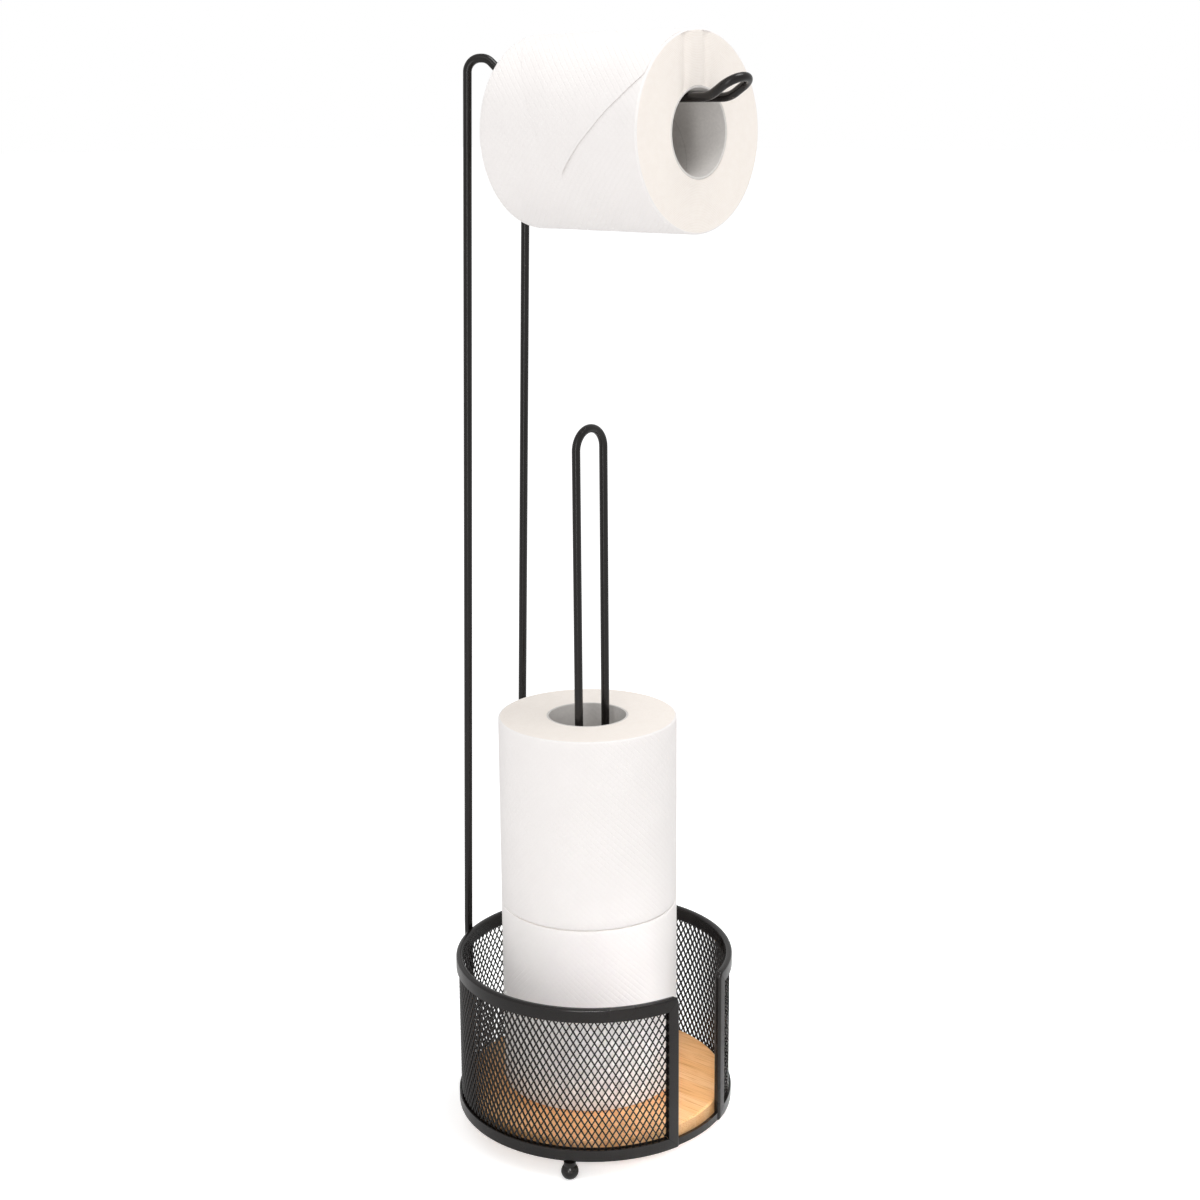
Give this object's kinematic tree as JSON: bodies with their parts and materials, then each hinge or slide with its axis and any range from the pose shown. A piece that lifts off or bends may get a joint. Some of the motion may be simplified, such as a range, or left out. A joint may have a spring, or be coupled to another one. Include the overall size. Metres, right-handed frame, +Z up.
{
  "type": "toilet roll storage holder",
  "caption": "Free-standing wire holder with a roll arm over a round mesh basket that stores spare rolls on a spindle.",
  "frame": {"origin": "on the floor, under the axis of the round basket", "axes": "+Z up; the roll arm and the basket's opening face -Y, and the two legs stand at +Y"},
  "size_m": [0.15, 0.1757, 0.5766],
  "materials": {
    "black_powder_coat": "satin",
    "bamboo": "satin",
    "zinc_steel": "satin",
    "tissue_paper": "matte",
    "grey_card": "matte"
  },
  "bodies": {
    "stand": {"support_wire": "black_powder_coat", "spindle_wire": "black_powder_coat", "spindle_plate": "black_powder_coat", "spindle_screws": "zinc_steel", "rim_trim": "black_powder_coat", "foot_trim": "black_powder_coat", "left_side_trim": "black_powder_coat", "right_side_trim": "black_powder_coat", "base_ring": "black_powder_coat", "mesh_wall": "black_powder_coat", "disc_tabs": "black_powder_coat", "disc_screws": "zinc_steel", "bamboo_disc": "bamboo", "ball_feet": "black_powder_coat", "leg_welds": "black_powder_coat"},
    "hanging_roll": {"hanging_roll_paper": "tissue_paper", "hanging_roll_core": "grey_card", "hanging_roll_tail": "tissue_paper"},
    "upper_roll": {"upper_roll_paper": "tissue_paper", "upper_roll_core": "grey_card"},
    "lower_roll": {"lower_roll_paper": "tissue_paper", "lower_roll_core": "grey_card"}
  },
  "joints": [
    {"name": "hanging_roll_spin", "type": "hinge", "parent": "stand", "child": "hanging_roll", "pos_m": [0, -0.021, 0.52914], "axis": [0, 1, 0], "continuous": true},
    {"name": "upper_roll_lift", "type": "slide", "parent": "stand", "child": "upper_roll", "axis": [0, 0, 1], "range_m": [0, 0.25]},
    {"name": "lower_roll_spin", "type": "hinge", "parent": "stand", "child": "lower_roll", "pos_m": [0.002, 0.005, 0.0728], "axis": [0, 0, 1], "continuous": true}
  ]
}
